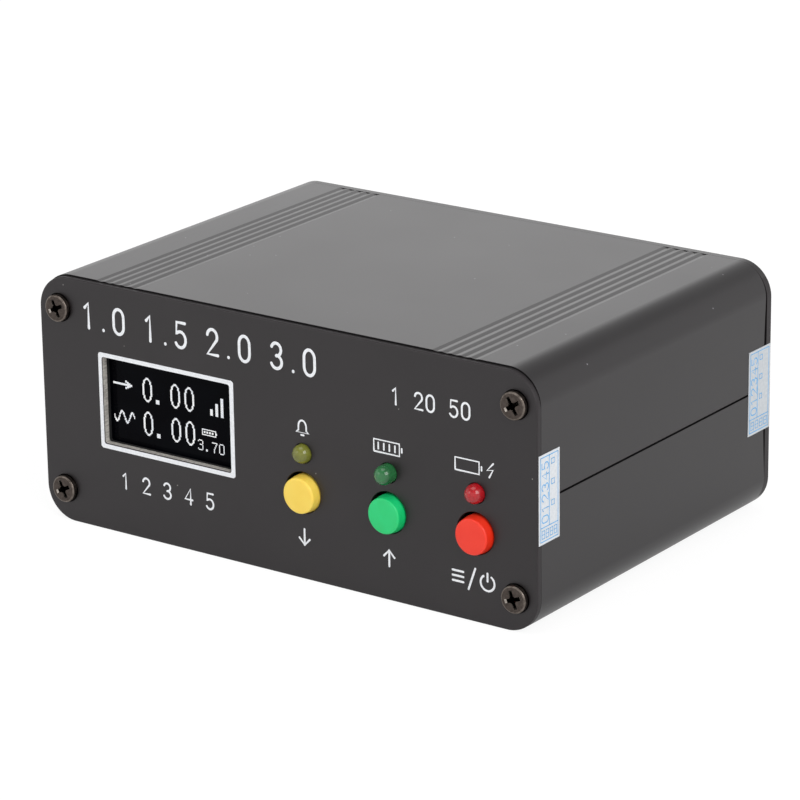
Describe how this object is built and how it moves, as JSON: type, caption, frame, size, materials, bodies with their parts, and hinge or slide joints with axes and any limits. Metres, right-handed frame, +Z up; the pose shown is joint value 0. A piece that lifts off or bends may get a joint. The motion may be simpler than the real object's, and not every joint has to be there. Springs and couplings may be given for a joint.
{
  "type": "swr meter",
  "caption": "Black split aluminium meter case with a framed dark display window, round coloured push buttons under small lamps, corner screws, and coaxial sockets behind.",
  "frame": {"origin": "centre of the underside of the case, midway between the two plates", "axes": "+X to the right along the front panel as seen from the front, +Y from the front panel to the rear panel, +Z up"},
  "size_m": [0.0921, 0.0803, 0.04],
  "materials": {
    "black_anodised": "matt black anodised extrusion and sheet",
    "black_screw": "blackened steel",
    "display_glass": "dark polished glass",
    "circuit_board": "solder-masked glass-fibre laminate",
    "display_laminate": "solder-masked glass-fibre laminate",
    "black_plastic": "moulded",
    "port_steel": "drawn sheet steel",
    "nickel": "nickel plated brass",
    "contact_brass": "gold flashed brass",
    "line_copper": "drawn copper wire",
    "ferrite": "sintered ferrite with its winding",
    "fluoropolymer": "turned white insulator",
    "cell_foil": "laminated foil pouch",
    "cell_tape": "polyimide tape over a guard board",
    "red_wire": "insulated stranded wire",
    "black_wire": "insulated stranded wire",
    "yellow_cap": "moulded, satin",
    "green_cap": "moulded, satin",
    "red_cap": "moulded, satin",
    "olive_lamp": "tinted clear resin",
    "green_lamp": "tinted clear resin",
    "red_lamp": "tinted clear resin",
    "seal_paper": "printed paper label"
  },
  "bodies": {
    "case": {"upper_shell": "black_anodised", "lower_shell": "black_anodised", "front_panel": "black_anodised", "rear_panel": "black_anodised", "front_screw_1": "black_screw", "front_screw_2": "black_screw", "front_screw_3": "black_screw", "front_screw_4": "black_screw", "rear_screw_1": "black_screw", "rear_screw_2": "black_screw", "rear_screw_3": "black_screw", "rear_screw_4": "black_screw", "display_glass": "display_glass", "display_board": "display_laminate", "display_header": "black_plastic", "front_board": "circuit_board", "board_header": "black_plastic", "main_board": "circuit_board", "microcontroller": "black_plastic", "charger_chip": "black_plastic", "power_inductor": "ferrite", "down_switch": "black_plastic", "up_switch": "black_plastic", "power_switch": "black_plastic", "alert_lamp": "olive_lamp", "full_lamp": "green_lamp", "charge_lamp": "red_lamp", "antenna_socket_body": "nickel", "antenna_socket_insulator": "fluoropolymer", "antenna_socket_contact": "contact_brass", "antenna_socket_nut": "nickel", "transmitter_socket_body": "nickel", "transmitter_socket_insulator": "fluoropolymer", "transmitter_socket_contact": "contact_brass", "transmitter_socket_nut": "nickel", "charge_port": "port_steel", "charge_port_tongue": "black_plastic", "coupler_board": "circuit_board", "line_conductor": "line_copper", "current_toroid": "ferrite", "voltage_toroid": "ferrite", "battery_cell": "cell_foil", "cell_guard": "cell_tape", "battery_socket": "fluoropolymer", "battery_lead_red": "red_wire", "battery_lead_black": "black_wire", "front_seal": "seal_paper", "rear_seal": "seal_paper"},
    "down_button": {"down_cap": "yellow_cap", "down_plunger": "black_plastic"},
    "up_button": {"up_cap": "green_cap", "up_plunger": "black_plastic"},
    "power_button": {"power_cap": "red_cap", "power_plunger": "black_plastic"}
  },
  "joints": [
    {"name": "down_press", "type": "slide", "parent": "case", "child": "down_button", "axis": [0, 1, 0], "range_m": [0, 0.00025], "stiffness_N_per_m": 4000, "springref_m": -0.0001},
    {"name": "up_press", "type": "slide", "parent": "case", "child": "up_button", "axis": [0, 1, 0], "range_m": [0, 0.00025], "stiffness_N_per_m": 4000, "springref_m": -0.0001},
    {"name": "power_press", "type": "slide", "parent": "case", "child": "power_button", "axis": [0, 1, 0], "range_m": [0, 0.00025], "stiffness_N_per_m": 4000, "springref_m": -0.0001}
  ]
}
